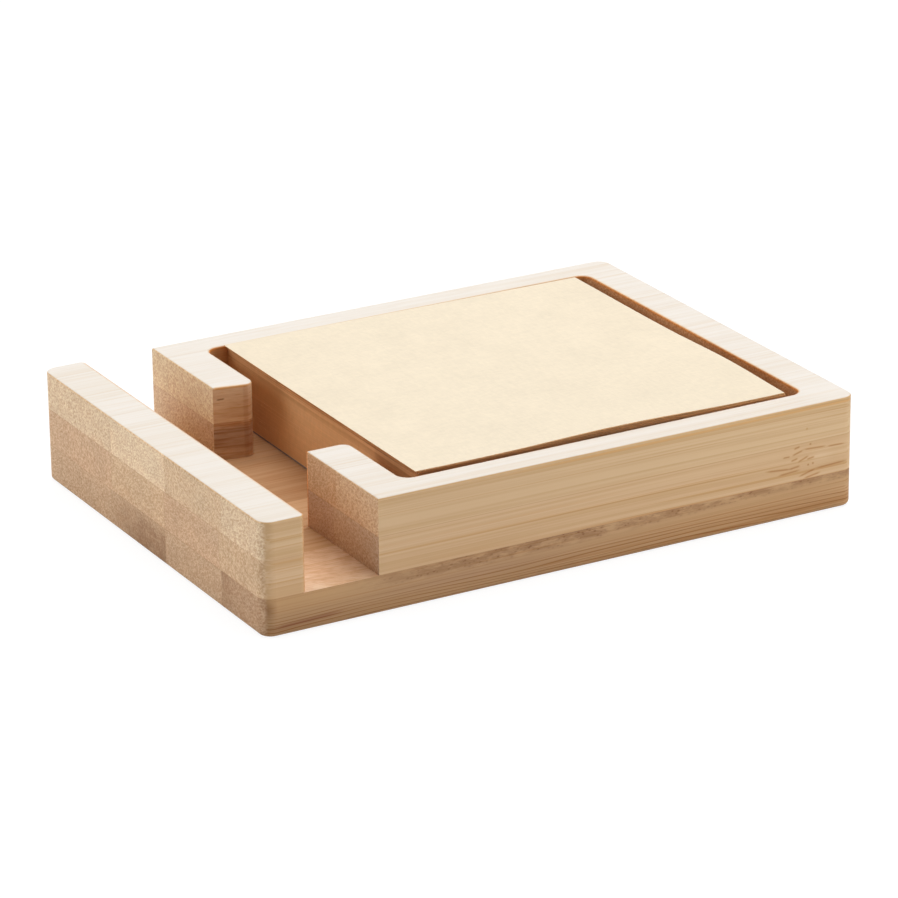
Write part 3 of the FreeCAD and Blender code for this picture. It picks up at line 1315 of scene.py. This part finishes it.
        # A darker, more orange copy of the paper for the loose sheets: painted shade.
        self.shaded_kraft = PaperFinish("kraft_shaded", face=(0.84, 0.56, 0.33),
                                     edge=(0.66, 0.34, 0.145), line_contrast=1.6,
                                     lines_per_mm=2.4).build()
        # The top sheet's cut edge is paler than the stack's: a painted highlight.
        self.top_paper_edge_light = PaperFinish("kraft_top_sheet", edge=(0.86, 0.56, 0.30)).build()
        self.dark = BackingFinish().build()
        self.build_backing()
        self.build_stack()
        self.build_loose()
        self.build_top_sheet()


@dataclass(frozen=True)
class Lamp:
    """A square lamp.

    Attributes:
        name: its name.
        power: its power, in watts.
        side: the length of its side.
        place: where it hangs.
        aim: the point that it shines at.
    """

    name: str
    power: float
    side: float
    place: Triple
    aim: Triple = (0.0, 0.0, 0.01)

    def build(self) -> None:
        """Make the lamp."""
        data = bpy.data.lights.new(self.name, "AREA")
        data.energy = self.power
        data.size = self.side
        lamp = bpy.data.objects.new(self.name, data)
        lamp.location = self.place
        direction = Vector(self.aim) - Vector(self.place)
        lamp.rotation_euler = direction.to_track_quat("-Z", "Y").to_euler()
        bpy.context.scene.collection.objects.link(lamp)


@dataclass(frozen=True)
class Studio:
    """The light, and the white floor that the holder stands on.

    Attributes:
        sky: the strength of the light from all round.
        lamps: the large lamp above, and those at the front left and at the right.
        floor_colour: the floor's colour.
        floor_roughness: how rough it is.
        floor_glow, glow_share: how bright its glow for the camera is, and how much of it shows.
        floor_reach: how far it goes each way from the middle.
        floor_gap: how far it lies below the underside, so that the two never mix.
    """

    sky: float = 0.12
    lamps: tuple[Lamp, ...] = (
        Lamp("overhead", 14.7, 1.2, (-0.15, 0.25, 1.1), (0.0, 0.0, 0.0)),
        Lamp("key", 3.95, 0.6, (-0.50, -0.85, 0.37)),
        Lamp("side", 2.5, 0.5, (0.80, 0.50, 0.16)),
    )
    floor_colour: Colour = (0.86, 0.86, 0.86)
    floor_roughness: float = 0.9
    floor_glow: float = 1.12
    glow_share: float = 0.80
    floor_reach: float = 2.0
    floor_gap: float = 0.05 * MM

    def build_world(self) -> None:
        """The plain light from all round, pure white where the camera sees it."""
        world = bpy.data.worlds.new("studio")
        world.use_nodes = True
        tree = world.node_tree
        tree.nodes.clear()
        output = tree.nodes.new("ShaderNodeOutputWorld")
        mix = tree.nodes.new("ShaderNodeMixShader")
        path = tree.nodes.new("ShaderNodeLightPath")
        tree.links.new(path.outputs["Is Camera Ray"], mix.inputs[0])
        for number, strength in ((1, self.sky), (2, 1.0)):
            background = tree.nodes.new("ShaderNodeBackground")
            background.inputs["Color"].default_value = (1.0, 1.0, 1.0, 1.0)
            background.inputs["Strength"].default_value = strength
            tree.links.new(background.outputs[0], mix.inputs[number])
        tree.links.new(mix.outputs[0], output.inputs["Surface"])
        bpy.context.scene.world = world

    def floor_material(self) -> Material:
        """The floor's finish: near white, and brighter where the camera sees it.

        Returns:
            The material.
        """
        graph = Graph("studio_floor")
        grain = graph.noise(graph.place(), (0.4, 0.4, 0.4))
        colour = graph.tint(self.floor_colour, 1.0, graph.waver(grain, 0.02))
        material = graph.finish(colour, self.floor_roughness, grain, 0.01 * MM, specular=0.0)
        glow = graph.make("Emission")
        glow.inputs["Strength"].default_value = self.floor_glow
        path = graph.make("LightPath")
        share = graph.product(path.outputs["Is Camera Ray"], self.glow_share)
        mix = graph.make("MixShader", share, graph.shader.outputs[0], glow.outputs[0])
        graph.feed(graph.output.inputs["Surface"], mix.outputs[0])
        return material

    def build_floor(self) -> None:
        """The floor, as a staged piece."""
        mesh = bmesh.new()
        points = bmesh.ops.create_grid(mesh, x_segments=4, y_segments=4,
                                       size=self.floor_reach)["verts"]
        bmesh.ops.translate(mesh, verts=points, vec=(0.0, 0.0, -self.floor_gap))
        data = bpy.data.meshes.new("studio_floor")
        mesh.to_mesh(data)
        mesh.free()
        data.materials.append(self.floor_material())
        floor = bpy.data.objects.new("studio_floor", data)
        bpy.context.scene.collection.objects.link(floor)

    def build(self) -> None:
        """Set up the light and the floor."""
        self.build_world()
        for lamp in self.lamps:
            lamp.build()
        self.build_floor()


def main() -> None:
    """Build the camera, the studio and every finish."""
    logging.basicConfig(level=logging.INFO, format="%(message)s")
    bpy.context.scene.view_settings.view_transform = "Standard"
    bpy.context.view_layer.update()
    Viewpoint().build()
    Studio().build()
    Plies().build()
    MemoPad().build()


if __name__ == "__main__":
    main()
